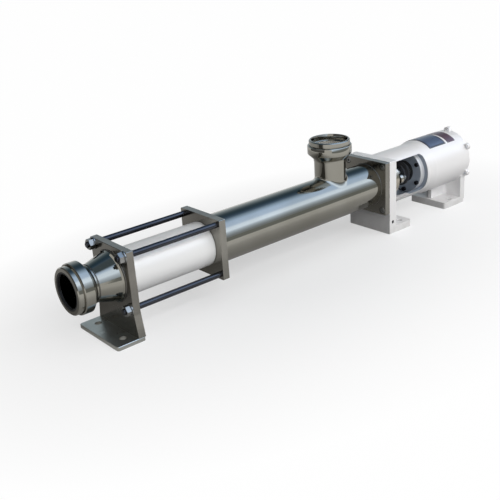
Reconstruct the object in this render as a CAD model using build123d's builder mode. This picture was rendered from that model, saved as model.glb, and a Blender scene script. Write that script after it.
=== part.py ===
"""Progressive cavity pump, built as separate named pieces.

Millimetres, Z up, the floor at Z = 0, the pump axis along X.
Stations (s) are measured along the pump axis from the front face of the
discharge flange; X = s + SHIFT puts the middle of the pump at X = 0.
"""
import os
from math import pi, sin, cos, radians, sqrt
from build123d import *

os.makedirs("parts", exist_ok=True)

# ---------------------------------------------------------------- sizes
AXIS_H = 114.0            # pump axis above the floor

LINER_FACE_R = 43.5       # union liner: outer radius at its open face
LINER_BAND_R = 45.5       # front band
LINER_GROOVE_R = 44.0
LINER_COLLAR_R = 49.0
PORT_BORE_R = 33.0        # DN65 bore
PORT_PIPE_R = 35.0        # DN65 pipe, 70 mm outside
NECK_R = 36.0             # back of the liner
SEAL_SEAT_R = 37.0        # seat for the flat seal in the liner mouth
SEAL_SEAT_D = 5.0
LINER_BAND_L = 9.5
LINER_GROOVE_L = 2.5
LINER_COLLAR_L = 19.0
LINER_TAPER_L = 12.0
LINER_TAIL_L = 4.0
LINER_L = LINER_BAND_L + LINER_GROOVE_L + LINER_COLLAR_L + LINER_TAPER_L + LINER_TAIL_L

CONE_L = 46.3             # discharge cone, liner to flange
CONE_BIG_R = 50.0
CONE_RIM_L = 3.0          # straight rim at the flange
CONE_SHOULDER = 2.2

FLANGE = 125.0            # square flanges
FLANGE_T = 15.0
CORNER_INSET = 10.5       # rod and bolt centres from the flange edges
CORNER = FLANGE / 2 - CORNER_INSET
FLANGE_BORE_R = 45.0

FOOT_W = 140.0            # discharge foot
FOOT_FRONT = 46.0
FOOT_T = 8.0
FOOT_FLARE_Z = 52.0
FOOT_HOLE_S = -19.0
FOOT_HOLE_Y = 44.0
FOOT_HOLE_R = 7.0

STATOR_L = 194.5
STATOR_R = 46.0
STATOR_WALL = 5.0
ECC = 6.0                 # rotor eccentricity
ROTOR_R = 16.0            # rotor cross-section radius
ROTOR_PITCH = 97.0        # one turn of the rotor
ROTOR_GAP = 0.35          # room between rotor and stator lining
ROTOR_NOSE_L = 2.0        # rotor end in front of the stator
ROTOR_TAIL_L = 70.5       # rotor head behind the stator

ROD_R = 6.0               # M12 tie rods
ROD_END = 16.0            # rod end in front of the flange
NUT_AF = 19.0
NUT_H = 10.0
WASHER_R = 12.0
WASHER_T = 2.5

HOUSING_L = 468.0
HOUSING_R = 50.8          # 101.6 mm tube
HOUSING_WALL = 2.0
NOZZLE_BACK = 115.0       # nozzle centre in front of the rear flange
NOZZLE_TOP = 136.0        # nozzle face above the axis
HOUSING_FLANGE_BORE_R = 31.0

SCREW_R = 4.0             # M8 flange screws
SCREW_HEAD_R = 6.5
SCREW_HEAD_H = 8.0
SCREW_SINK = 0.6          # head below the flange face
SCREW_L = 22.0
SCREW_KEY_AF = 6.0
SCREW_HOLE_L = 18.0       # tapped depth in the bracket plate

PLATE_T = 23.0            # bearing bracket
LANTERN_R = FLANGE / 2
LANTERN_L = 117.5         # open length behind the plate
TAPER_START_L = 10.0
TAPER_L = 18.0
BARREL_L = 134.0
BARREL_R = LANTERN_R + 4.0
LANTERN_BORE_R = 52.5
BRACKET_FOOT_L = 56.0
BRACKET_FOOT_T = 16.5
BRACKET_FOOT_HOLE_Y = 46.0
FRONT_HOLE_BACK = 32.0    # front foot holes behind the plate
BRACKET_FOOT_HOLE_R = 6.5
WINDOW_TOP = 48.5         # side window above and below the axis
WINDOW_LOW = 40.0
REAR_BASE_W = 107.0
REAR_BASE_L = 81.0
REAR_PLATE_T = 18.0
RIB_T = 9.0
RIB_SETBACK = 8.5
REAR_HOLE_Y = 42.5
REAR_HOLE_BACK = 34.0     # rear foot holes behind the front edge of the base
LUG_R = 8.0
LUG_PCR = BARREL_R + 1.5
LUG_T = 10.0
LUG_HOLE_R = 4.0
PILOT_R = 47.5
PILOT_D = 6.0
PLUG_Z = 28.5             # side plugs
PLUG_R = 4.0
PLUG_L = 7.0

SEAL_BODY_R = 45.0        # stuffing box
SEAL_BODY_L = 57.5
SEAL_NECK_L = 15.0
PACKING_R = 25.0
SHAFT_R = 17.5
SHAFT_CLEAR = 0.8         # open gap round the turning shaft
RUB_CLEAR = 0.05          # gap where a seal or a socket runs on a shaft
GLAND_PLATE_T = 10.0
GLAND_NOSE_L = 8.0        # follower inside the stuffing box
GLAND_STANDOFF = 6.0
GLAND_BOSS_R = 32.0
GLAND_EAR_R = 12.0
GLAND_STUD_Y = 33.0
GLAND_STUD_R = 5.0
GLAND_STUD_DEPTH = 18.0
GLAND_STUD_PAST = 8.0     # stud end past its nut
GLAND_NUT_AF = 17.0
GLAND_NUT_H = 8.0

BEARING_SEAT_R = 20.0
BEARING_OR = 40.0
BEARING_W = 18.0
INNER_RING_R = 25.5
OUTER_RING_BORE_R = 34.5
ROLLER_GAP = 0.4
ROLLER_COUNT = 9
COVER_R = 51.5
COVER_T = 12.0
COVER_SCREW_PCR = 45.0
COVER_SCREW_HEAD_R = 5.0
COVER_SCREW_HEAD_H = 6.0
COVER_SCREW_R = 3.0
COVER_SCREW_DEPTH = 12.0
LIP_SEAL_R = 26.0
LIP_SEAL_L = 8.0          # depth of its seat
REAR_SEAL_R = 28.0
REAR_COVER_L = 14.0
REAR_SEAL_L = 6.5
LOCK_NUT_R = 26.0
LOCK_NUT_L = 6.0
LOCK_SLOT_D = 4.0
LOCK_SLOT_W = 5.0
SLINGER_BACK = 42.0       # slinger in front of the bearing wall
SLINGER_HUB_R = 24.0
SLINGER_R = 31.0
SLINGER_HUB_L = 5.0
SLINGER_L = 11.0
BRG_REAR_BACK = 50.0      # rear bearing in front of the rear face
SHAFT_RECESS = 8.0        # shaft end behind the rear face
SHAFT_NOSE_L = 42.5       # wet end of the shaft in front of the bracket
SHAFT_WAIST_R = 23.0

FLEX_R = 9.0              # flexible shaft
SOCKET_L = 35.0
DRIVE_BORE_R = 12.0       # hollow drive end for a 24 mm motor shaft
DRIVE_BORE_L = 55.0
KEYWAY_W = 8.0
KEYWAY_TOP = 15.3         # keyway roof from the shaft axis

# ------------------------------------------------------------- stations
S_LINER = -(LINER_L + CONE_L)
S_STATOR = FLANGE_T
S_FLANGE_B = S_STATOR + STATOR_L
S_HOUSING = S_FLANGE_B + FLANGE_T
S_FLANGE_C = S_HOUSING + HOUSING_L
S_BRACKET = S_FLANGE_C + FLANGE_T
S_LANTERN = S_BRACKET + PLATE_T
S_SEAL_END = S_BRACKET + SEAL_BODY_L
S_PACKING = S_BRACKET + SEAL_NECK_L
S_PACKING_END = S_SEAL_END - GLAND_NOSE_L
S_GLAND = S_SEAL_END + GLAND_STANDOFF
S_NOZZLE = S_FLANGE_C - NOZZLE_BACK
S_WALL = S_LANTERN + LANTERN_L
S_SLINGER = S_WALL - SLINGER_BACK
S_TAPER = S_WALL + TAPER_START_L
S_BARREL = S_TAPER + TAPER_L
S_REAR = S_BARREL + BARREL_L
S_BRG_FRONT = S_WALL + 2.0
S_BRG_REAR = S_REAR - BRG_REAR_BACK
S_SHAFT_WET = S_BRACKET - SHAFT_NOSE_L
S_SHAFT_END = S_REAR - SHAFT_RECESS
S_ROTOR = S_STATOR - ROTOR_NOSE_L
S_ROTOR_HELIX_END = S_FLANGE_B + 2.5
S_ROTOR_HEAD = S_FLANGE_B + 1.0
S_ROTOR_TAIL = S_FLANGE_B + ROTOR_TAIL_L
SHIFT = -(S_LINER + S_REAR) / 2.0

AXIS = Axis((0, 0, AXIS_H), (1, 0, 0))
CORNERS = [(y, AXIS_H + z) for y in (-CORNER, CORNER) for z in (-CORNER, CORNER)]


def cross(s):
    """Sketch plane square to the pump axis at station s (local x = Y, y = Z)."""
    return Plane.YZ.offset(s + SHIFT)


def turned(points, lift=0.0):
    """Solid of revolution about the pump axis from (station, radius) points."""
    with BuildPart() as t:
        with BuildSketch(Plane.XZ):
            with BuildLine():
                Polyline(*[(s + SHIFT, AXIS_H + lift + r) for s, r in points], close=True)
            make_face()
        revolve(axis=Axis((0, 0, AXIS_H + lift), (1, 0, 0)))
    return t.part


def tube(s0, s1, r_out, r_in, c_out=0.0, lift=0.0):
    """Tube or plain cylinder between two stations, outer edges chamfered by c_out."""
    pts = [(s0, r_in), (s0, r_out - c_out), (s0 + c_out, r_out),
           (s1 - c_out, r_out), (s1, r_out - c_out), (s1, r_in)]
    if c_out == 0.0:
        pts = [(s0, r_in), (s0, r_out), (s1, r_out), (s1, r_in)]
    return turned(pts, lift)


def hex_nut(across, height, hole_r, chamfer_c):
    """Hexagon nut standing on Z = 0, chamfered on both faces."""
    corner_r = across / sqrt(3)
    with BuildPart() as n:
        with BuildSketch(Plane.XY):
            RegularPolygon(corner_r, 6)
            Circle(hole_r, mode=Mode.SUBTRACT)
        extrude(amount=height)
        with BuildSketch(Plane.XZ):
            with BuildLine():
                Polyline((0, 0), (corner_r - chamfer_c, 0), (corner_r, chamfer_c * 0.6),
                         (corner_r, height - chamfer_c * 0.6),
                         (corner_r - chamfer_c, height), (0, height), close=True)
            make_face()
        revolve(axis=Axis.Z, mode=Mode.INTERSECT)
    return n.part


def cap_screw(shank_r, shank_l, head_r, head_h, key_af):
    """Socket head screw: head base at Z = 0, head upward, shank downward."""
    with BuildPart() as c:
        with BuildSketch(Plane.XY.offset(-shank_l)):
            Circle(shank_r)
        extrude(amount=shank_l)
        with BuildSketch(Plane.XY):
            Circle(head_r)
        extrude(amount=head_h)
        chamfer(c.faces().sort_by(Axis.Z)[-1].edges(), 0.6)
        with BuildSketch(Plane.XY.offset(head_h)):
            RegularPolygon(key_af / sqrt(3), 6)
        extrude(amount=-head_h * 0.55, mode=Mode.SUBTRACT)
    return c.part


def liner_points(face):
    """Union liner outline: open face at station `face`, tail behind it."""
    a = face + LINER_BAND_L
    b = a + LINER_GROOVE_L
    c = b + LINER_COLLAR_L
    d = c + LINER_TAPER_L
    e = d + LINER_TAIL_L
    return [(face + SEAL_SEAT_D, PORT_BORE_R), (face + SEAL_SEAT_D, SEAL_SEAT_R),
            (face, SEAL_SEAT_R), (face, LINER_FACE_R), (face + 2.0, LINER_BAND_R),
            (a, LINER_BAND_R), (a, LINER_GROOVE_R), (b, LINER_GROOVE_R),
            (b, LINER_COLLAR_R - 1.5), (b + 1.5, LINER_COLLAR_R),
            (c, LINER_COLLAR_R), (d, NECK_R), (e, NECK_R), (e, PORT_BORE_R)]


# -------------------------------------------------------- discharge end
with BuildPart() as discharge_liner:
    add(turned(liner_points(S_LINER)))

with BuildPart() as discharge_seal_ring:
    add(turned([(S_LINER + 0.6, PORT_BORE_R + 0.5), (S_LINER + 0.6, SEAL_SEAT_R),
                (S_LINER + SEAL_SEAT_D, SEAL_SEAT_R),
                (S_LINER + SEAL_SEAT_D, PORT_BORE_R + 0.5)]))

with BuildPart() as discharge_cone:
    add(turned([(-CONE_L, PORT_BORE_R), (-CONE_L, NECK_R),
                (-2 * CONE_RIM_L, CONE_BIG_R - CONE_SHOULDER),
                (-CONE_RIM_L, CONE_BIG_R), (0.0, CONE_BIG_R), (0.0, FLANGE_BORE_R),
                (-CONE_RIM_L, FLANGE_BORE_R)]))

half = FLANGE / 2
with BuildPart() as discharge_flange:
    with BuildSketch(cross(0)):
        with BuildLine():
            Polyline((-FOOT_W / 2, FOOT_T), (-half, FOOT_FLARE_Z), (-half, AXIS_H + half),
                     (half, AXIS_H + half), (half, FOOT_FLARE_Z), (FOOT_W / 2, FOOT_T),
                     close=True)
        make_face()
        with Locations((0, AXIS_H)):
            Circle(FLANGE_BORE_R, mode=Mode.SUBTRACT)
        with Locations(*CORNERS):
            Circle(ROD_R + 0.5, mode=Mode.SUBTRACT)
    extrude(amount=FLANGE_T)
    rim = discharge_flange.edges().filter_by(GeomType.LINE).filter_by(
        lambda e: abs(e.center().Z - (AXIS_H + half)) < 0.01
        or (abs(abs(e.center().Y) - half) < 0.01 and e.center().Z > FOOT_FLARE_Z + 1.0))
    chamfer(rim, 0.8)

with BuildPart() as discharge_foot:
    with BuildSketch(Plane.XY):
        with Locations(((FLANGE_T - FOOT_FRONT) / 2 + SHIFT, 0)):
            RectangleRounded(FLANGE_T + FOOT_FRONT, FOOT_W, 5.0)
        with Locations((FOOT_HOLE_S + SHIFT, -FOOT_HOLE_Y), (FOOT_HOLE_S + SHIFT, FOOT_HOLE_Y)):
            Circle(FOOT_HOLE_R, mode=Mode.SUBTRACT)
    extrude(amount=FOOT_T)
    chamfer(discharge_foot.faces().sort_by(Axis.Z)[-1].outer_wire().edges(), 0.8)

with BuildPart() as tie_rods:
    for y, z in CORNERS:
        with BuildSketch(cross(-ROD_END)):
            with Locations((y, z)):
                Circle(ROD_R)
        extrude(amount=ROD_END + S_FLANGE_B + FLANGE_T - 2.5)
    chamfer(tie_rods.edges().filter_by(GeomType.CIRCLE), 1.0)

with BuildPart() as tie_rod_washers:
    for y, z in CORNERS:
        with BuildSketch(cross(-WASHER_T)):
            with Locations((y, z)):
                Circle(WASHER_R)
                Circle(ROD_R + 0.3, mode=Mode.SUBTRACT)
        extrude(amount=WASHER_T)

with BuildPart() as tie_rod_nuts:
    nut = hex_nut(NUT_AF, NUT_H, ROD_R, 1.3)
    turn = (8.0, 25.0, 17.0, 2.0)
    for i, (y, z) in enumerate(CORNERS):
        seat = Plane(origin=(-WASHER_T + SHIFT, y, z), x_dir=(0, 1, 0), z_dir=(-1, 0, 0))
        add(seat * Rot(0, 0, turn[i]) * nut)

# ------------------------------------------------------------- pumping element
with BuildPart() as stator_tube:
    add(tube(S_STATOR, S_FLANGE_B, STATOR_R, STATOR_R - STATOR_WALL, 1.0))

TURNS = 36.0              # degrees of rotor twist between sections


def along(a):
    """Unit vector square to the axis, turned by a (radians) from straight up."""
    return -sin(a), cos(a)


def rotor_angle(s):
    return 2 * pi * (s - S_STATOR) / ROTOR_PITCH


def stations(s0, s1, step_deg):
    n = max(2, round((rotor_angle(s1) - rotor_angle(s0)) / radians(step_deg)))
    return [s0 + (s1 - s0) * i / n for i in range(n + 1)]


with BuildPart() as cavity:
    for s in stations(S_STATOR - 1.0, S_FLANGE_B + 1.0, TURNS):
        with BuildSketch(cross(s)):
            with Locations(Pos(0, AXIS_H) * Rot(0, 0, rotor_angle(s) / 2 * 180 / pi + 90)):
                SlotCenterToCenter(4 * ECC, 2 * (ROTOR_R + ROTOR_GAP))
    loft()

with BuildPart() as stator_elastomer:
    add(tube(S_STATOR, S_FLANGE_B, STATOR_R - STATOR_WALL, 0.0))
    add(cavity.part, mode=Mode.SUBTRACT)

start_y, start_z = along(rotor_angle(S_ROTOR))
rotor_helix = Plane(origin=(S_ROTOR + SHIFT, 0, AXIS_H + ECC), x_dir=(0, start_y, start_z),
                    z_dir=(1, 0, 0)) * Helix(ROTOR_PITCH, S_ROTOR_HELIX_END - S_ROTOR, ECC)
with BuildPart() as rotor:
    with BuildSketch(Plane(origin=rotor_helix @ 0, z_dir=(1, 0, 0))):
        Circle(ROTOR_R)
    sweep(path=rotor_helix, normal=(1, 0, 0))
    add(tube(S_ROTOR_HEAD, S_ROTOR_TAIL, ROTOR_R, 0.0, 1.0, ECC))
    add(tube(S_ROTOR_TAIL - SOCKET_L, S_ROTOR_TAIL + 1.0, FLEX_R + RUB_CLEAR, 0.0, 0.0, ECC),
        mode=Mode.SUBTRACT)

# ------------------------------------------------------------- suction housing
with BuildPart() as housing_front_flange:
    with BuildSketch(cross(S_FLANGE_B)):
        with Locations((0, AXIS_H)):
            RectangleRounded(FLANGE, FLANGE, 2.0)
            Circle(HOUSING_FLANGE_BORE_R, mode=Mode.SUBTRACT)
        with Locations(*CORNERS):
            Circle(ROD_R, mode=Mode.SUBTRACT)
    extrude(amount=FLANGE_T)

with BuildPart() as suction_housing:
    add(tube(S_HOUSING, S_FLANGE_C, HOUSING_R, HOUSING_R - HOUSING_WALL))
    with BuildSketch(Plane.XY.offset(AXIS_H)):
        with Locations((S_NOZZLE + SHIFT, 0)):
            Circle(PORT_BORE_R)
    extrude(amount=HOUSING_R + 5.0, mode=Mode.SUBTRACT)

LINER_LOW = AXIS_H + NOZZLE_TOP - LINER_L
with BuildPart() as suction_nozzle:
    with BuildSketch(Plane.XY.offset(AXIS_H)):
        with Locations((S_NOZZLE + SHIFT, 0)):
            Circle(PORT_PIPE_R)
            Circle(PORT_BORE_R, mode=Mode.SUBTRACT)
    extrude(amount=LINER_LOW - AXIS_H)
    add(tube(S_HOUSING, S_FLANGE_C, HOUSING_R, 0.0), mode=Mode.SUBTRACT)

with BuildPart() as suction_liner:
    with BuildSketch(Plane.XZ):
        with BuildLine():
            Polyline(*[(S_NOZZLE + SHIFT + r, AXIS_H + NOZZLE_TOP - s)
                       for s, r in liner_points(0.0)], close=True)
        make_face()
    revolve(axis=Axis((S_NOZZLE + SHIFT, 0, 0), (0, 0, 1)))

with BuildPart() as housing_rear_flange:
    with BuildSketch(cross(S_FLANGE_C)):
        with Locations((0, AXIS_H)):
            RectangleRounded(FLANGE, FLANGE, 2.0)
            Circle(HOUSING_FLANGE_BORE_R, mode=Mode.SUBTRACT)
        with Locations(*CORNERS):
            Circle(SCREW_R + 0.5, mode=Mode.SUBTRACT)
    extrude(amount=FLANGE_T)
    with BuildSketch(cross(S_FLANGE_C)):
        with Locations(*CORNERS):
            Circle(SCREW_HEAD_R + 1.0)
    extrude(amount=SCREW_HEAD_H + SCREW_SINK, mode=Mode.SUBTRACT)

with BuildPart() as housing_screws:
    screw = cap_screw(SCREW_R, SCREW_L, SCREW_HEAD_R, SCREW_HEAD_H, SCREW_KEY_AF)
    for y, z in CORNERS:
        seat = Plane(origin=(S_FLANGE_C + SCREW_HEAD_H + SCREW_SINK + SHIFT, y, z),
                     x_dir=(0, 1, 0), z_dir=(-1, 0, 0))
        add(seat * screw)

# ------------------------------------------------------------- bearing bracket
LUGS = [(LUG_PCR * sin(radians(a)), AXIS_H + LUG_PCR * cos(radians(a)))
        for a in range(0, 360, 60)]
REAR_BASE_S = S_REAR - REAR_BASE_L
FRONT_HOLE_S = S_LANTERN + FRONT_HOLE_BACK
REAR_HOLE_S = REAR_BASE_S + REAR_HOLE_BACK
PLUG_S = S_BRACKET + PLATE_T / 2

with BuildPart() as bearing_bracket:
    with BuildSketch(cross(S_BRACKET)):
        with Locations((0, (AXIS_H + half) / 2)):
            RectangleRounded(FLANGE, AXIS_H + half, 2.0)
    extrude(amount=PLATE_T)
    with BuildSketch(Plane.XY):
        with Locations((S_LANTERN + (BRACKET_FOOT_L - 10) / 2 + SHIFT, 0)):
            RectangleRounded(BRACKET_FOOT_L + 10, FLANGE, 6.0)
        with Locations((REAR_BASE_S + REAR_BASE_L / 2 + SHIFT, 0)):
            RectangleRounded(REAR_BASE_L, REAR_BASE_W, 5.0)
    extrude(amount=BRACKET_FOOT_T)
    with BuildSketch(Plane.XY.offset(BRACKET_FOOT_T / 2)):
        with BuildLine():
            Polyline((REAR_BASE_S + RIB_SETBACK + SHIFT, -RIB_T / 2),
                     (S_REAR - REAR_PLATE_T + SHIFT, -RIB_T / 2),
                     (S_REAR - REAR_PLATE_T + SHIFT, -REAR_BASE_W / 2),
                     (S_REAR + SHIFT, -REAR_BASE_W / 2), (S_REAR + SHIFT, REAR_BASE_W / 2),
                     (S_REAR - REAR_PLATE_T + SHIFT, REAR_BASE_W / 2),
                     (S_REAR - REAR_PLATE_T + SHIFT, RIB_T / 2),
                     (REAR_BASE_S + RIB_SETBACK + SHIFT, RIB_T / 2), close=True)
        rear_outline = make_face()
        inner = [v for v in rear_outline.vertices()
                 if abs(v.X - (S_REAR - REAR_PLATE_T + SHIFT)) < 0.1 and abs(v.Y) < RIB_T]
        fillet(inner, 9.0)
    extrude(amount=AXIS_H - BRACKET_FOOT_T / 2)
    add(turned([(S_BRACKET + 2.0, 0), (S_BRACKET + 2.0, LANTERN_R), (S_TAPER, LANTERN_R),
                (S_BARREL, BARREL_R), (S_REAR - 1.0, BARREL_R), (S_REAR, BARREL_R - 1.0),
                (S_REAR, 0)]))
    with BuildSketch(cross(S_REAR - LUG_T)):
        with Locations(*LUGS):
            Circle(LUG_R)
    extrude(amount=LUG_T)
    # bores along the axis
    add(turned([(S_BRACKET - 1, 0), (S_BRACKET - 1, SEAL_BODY_R + 0.4),
                (S_LANTERN, SEAL_BODY_R + 0.4), (S_LANTERN, LANTERN_BORE_R),
                (S_WALL, LANTERN_BORE_R), (S_WALL, BEARING_OR),
                (S_BRG_FRONT + BEARING_W + 2, BEARING_OR),
                (S_BRG_FRONT + BEARING_W + 5, BEARING_OR + 3),
                (S_BRG_REAR - 5, BEARING_OR + 3), (S_BRG_REAR - 2, BEARING_OR),
                (S_REAR - PILOT_D, BEARING_OR), (S_REAR - PILOT_D, PILOT_R),
                (S_REAR + 1, PILOT_R), (S_REAR + 1, 0)]), mode=Mode.SUBTRACT)
    # side windows of the lantern
    with BuildSketch(Plane.XZ.offset(-LANTERN_R - 5)):
        with Locations(((S_LANTERN + S_WALL) / 2 + SHIFT,
                        AXIS_H + (WINDOW_TOP - WINDOW_LOW) / 2)):
            RectangleRounded(S_WALL - S_LANTERN, WINDOW_TOP + WINDOW_LOW, 9.0)
    extrude(amount=2 * LANTERN_R + 10, mode=Mode.SUBTRACT)
    # tapped holes for the flange screws, lug holes, foot holes, side plug holes
    with BuildSketch(cross(S_BRACKET)):
        with Locations(*CORNERS):
            Circle(SCREW_R)
    extrude(amount=SCREW_HOLE_L, mode=Mode.SUBTRACT)
    with BuildSketch(cross(S_REAR - LUG_T)):
        with Locations(*LUGS):
            Circle(LUG_HOLE_R)
    extrude(amount=LUG_T, mode=Mode.SUBTRACT)
    with BuildSketch(Plane.XY):
        with Locations((FRONT_HOLE_S + SHIFT, -BRACKET_FOOT_HOLE_Y),
                       (FRONT_HOLE_S + SHIFT, BRACKET_FOOT_HOLE_Y),
                       (REAR_HOLE_S + SHIFT, -REAR_HOLE_Y), (REAR_HOLE_S + SHIFT, REAR_HOLE_Y)):
            Circle(BRACKET_FOOT_HOLE_R)
    extrude(amount=BRACKET_FOOT_T, mode=Mode.SUBTRACT)
    for side in (-1, 1):
        with BuildSketch(Plane.XZ.offset(-side * half)):
            with Locations((PLUG_S + SHIFT, PLUG_Z)):
                Circle(PLUG_R)
        extrude(amount=side * 10.0, mode=Mode.SUBTRACT)
    # tapped holes for the cover screws
    with BuildSketch(cross(S_WALL)):
        with Locations((0, AXIS_H)):
            with PolarLocations(COVER_SCREW_PCR, 6, 30):
                Circle(COVER_SCREW_R)
    extrude(amount=COVER_SCREW_DEPTH, mode=Mode.SUBTRACT)

with BuildPart() as side_plugs:
    for side in (-1, 1):
        with BuildSketch(Plane.XZ.offset(-side * (half - 1.0))):
            with Locations((PLUG_S + SHIFT, PLUG_Z)):
                Circle(PLUG_R)
        extrude(amount=side * PLUG_L)
        with BuildSketch(Plane.XZ.offset(-side * (half - 1.0))):
            with Locations((PLUG_S + SHIFT, PLUG_Z)):
                RegularPolygon(2.3, 6)
        extrude(amount=side * PLUG_L / 2, mode=Mode.SUBTRACT)

# ------------------------------------------------------------- shaft seal
with BuildPart() as seal_housing:
    add(turned([(S_BRACKET, SHAFT_R + SHAFT_CLEAR), (S_BRACKET, SEAL_BODY_R),
                (S_SEAL_END - 1.5, SEAL_BODY_R), (S_SEAL_END, SEAL_BODY_R - 1.5),
                (S_SEAL_END, PACKING_R), (S_PACKING, PACKING_R),
                (S_PACKING, SHAFT_R + SHAFT_CLEAR)]))
    with BuildSketch(cross(S_SEAL_END)):
        with Locations((-GLAND_STUD_Y, AXIS_H), (GLAND_STUD_Y, AXIS_H)):
            Circle(GLAND_STUD_R)
    extrude(amount=-GLAND_STUD_DEPTH, mode=Mode.SUBTRACT)

with BuildPart() as packing_rings:
    n_rings = 4
    ring_l = (S_PACKING_END - S_PACKING) / n_rings
    for i in range(n_rings):
        a = S_PACKING + i * ring_l
        add(tube(a + (0.15 if i else 0.0), a + ring_l, PACKING_R, SHAFT_R + RUB_CLEAR))

with BuildPart() as gland_follower:
    add(tube(S_PACKING_END, S_GLAND + 1.0, PACKING_R, SHAFT_R + SHAFT_CLEAR))
    with BuildSketch(cross(S_GLAND)):
        with Locations((0, AXIS_H)):
            Circle(GLAND_BOSS_R)
            SlotCenterToCenter(2 * GLAND_STUD_Y, 2 * GLAND_EAR_R)
            Circle(SHAFT_R + SHAFT_CLEAR, mode=Mode.SUBTRACT)
        with Locations((-GLAND_STUD_Y, AXIS_H), (GLAND_STUD_Y, AXIS_H)):
            Circle(GLAND_STUD_R + 0.5, mode=Mode.SUBTRACT)
    extrude(amount=GLAND_PLATE_T)
    chamfer(gland_follower.faces().sort_by(Axis.X)[-1].outer_wire().edges(), 1.2)

with BuildPart() as gland_studs:
    for y in (-GLAND_STUD_Y, GLAND_STUD_Y):
        with BuildSketch(cross(S_SEAL_END - GLAND_STUD_DEPTH)):
            with Locations((y, AXIS_H)):
                Circle(GLAND_STUD_R)
        extrude(amount=GLAND_STUD_DEPTH + GLAND_STANDOFF + GLAND_PLATE_T + GLAND_NUT_H
            + GLAND_STUD_PAST)
    chamfer(gland_studs.edges().filter_by(GeomType.CIRCLE), 0.8)

with BuildPart() as gland_nuts:
    gnut = hex_nut(GLAND_NUT_AF, GLAND_NUT_H, GLAND_STUD_R, 1.1)
    for y in (-GLAND_STUD_Y, GLAND_STUD_Y):
        seat = Plane(origin=(S_GLAND + GLAND_PLATE_T + SHIFT, y, AXIS_H),
                     x_dir=(0, 1, 0), z_dir=(1, 0, 0))
        add(seat * Rot(0, 0, 12) * gnut)

# ------------------------------------------------------------- bearings
S_COVER = S_WALL - COVER_T
with BuildPart() as bearing_cover:
    add(turned([(S_COVER, LIP_SEAL_R), (S_COVER, COVER_R - 1.5), (S_COVER + 1.5, COVER_R),
                (S_WALL, COVER_R), (S_WALL, SHAFT_R + SHAFT_CLEAR),
                (S_COVER + LIP_SEAL_L, SHAFT_R + SHAFT_CLEAR),
                (S_COVER + LIP_SEAL_L, LIP_SEAL_R)]))
    with BuildSketch(cross(S_COVER)):
        with Locations((0, AXIS_H)):
            with PolarLocations(COVER_SCREW_PCR, 6, 30):
                Circle(COVER_SCREW_R + 0.3)
    extrude(amount=COVER_T, mode=Mode.SUBTRACT)

with BuildPart() as bearing_cover_screws:
    cscrew = cap_screw(COVER_SCREW_R, COVER_T + COVER_SCREW_DEPTH - 2.0, COVER_SCREW_HEAD_R,
                       COVER_SCREW_HEAD_H, COVER_SCREW_HEAD_R)
    for i in range(6):
        a = radians(30 + 60 * i)
        seat = Plane(origin=(S_COVER + SHIFT, COVER_SCREW_PCR * cos(a),
                             AXIS_H + COVER_SCREW_PCR * sin(a)),
                     x_dir=(0, 1, 0), z_dir=(-1, 0, 0))
        add(seat * cscrew)

with BuildPart() as front_lip_seal:
    add(tube(S_COVER + 0.5, S_COVER + LIP_SEAL_L, LIP_SEAL_R, SHAFT_R + RUB_CLEAR))

BEARINGS = (S_BRG_FRONT, S_BRG_REAR)
with BuildPart() as bearing_outer_rings:
    for s in BEARINGS:
        add(tube(s, s + BEARING_W, BEARING_OR, OUTER_RING_BORE_R, 1.0))

with BuildPart() as bearing_inner_rings:
    for s in BEARINGS:
        add(tube(s, s + BEARING_W, INNER_RING_R, BEARING_SEAT_R))

ROLLER_PR = (INNER_RING_R + OUTER_RING_BORE_R) / 2
ROLLER_R = (OUTER_RING_BORE_R - INNER_RING_R) / 2 - ROLLER_GAP
with BuildPart() as bearing_rollers:
    for s in BEARINGS:
        with BuildSketch(cross(s + 2.5)):
            with Locations((0, AXIS_H)):
                with PolarLocations(ROLLER_PR, ROLLER_COUNT):
                    Circle(ROLLER_R)
        extrude(amount=BEARING_W - 5.0)
        add(tube(s + 0.8, s + 2.5, ROLLER_PR + 2.0, ROLLER_PR - 2.0))
        add(tube(s + BEARING_W - 2.5, s + BEARING_W - 0.8, ROLLER_PR + 2.0, ROLLER_PR - 2.0))

S_NUT = S_BRG_REAR + BEARING_W
with BuildPart() as rear_cover:
    add(tube(S_NUT, S_NUT + REAR_COVER_L, BEARING_OR, REAR_SEAL_R))

with BuildPart() as rear_lip_seal:
    add(tube(S_NUT + REAR_COVER_L - REAR_SEAL_L, S_NUT + REAR_COVER_L, REAR_SEAL_R,
             BEARING_SEAT_R + RUB_CLEAR))

with BuildPart() as bearing_lock_nut:
    add(tube(S_NUT, S_NUT + LOCK_NUT_L, LOCK_NUT_R, BEARING_SEAT_R, 0.8))
    with BuildSketch(cross(S_NUT)):
        with Locations((0, AXIS_H)):
            with PolarLocations(LOCK_NUT_R, 4, 45):
                Rectangle(LOCK_SLOT_D, LOCK_SLOT_W)
    extrude(amount=LOCK_NUT_L, mode=Mode.SUBTRACT)

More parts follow.
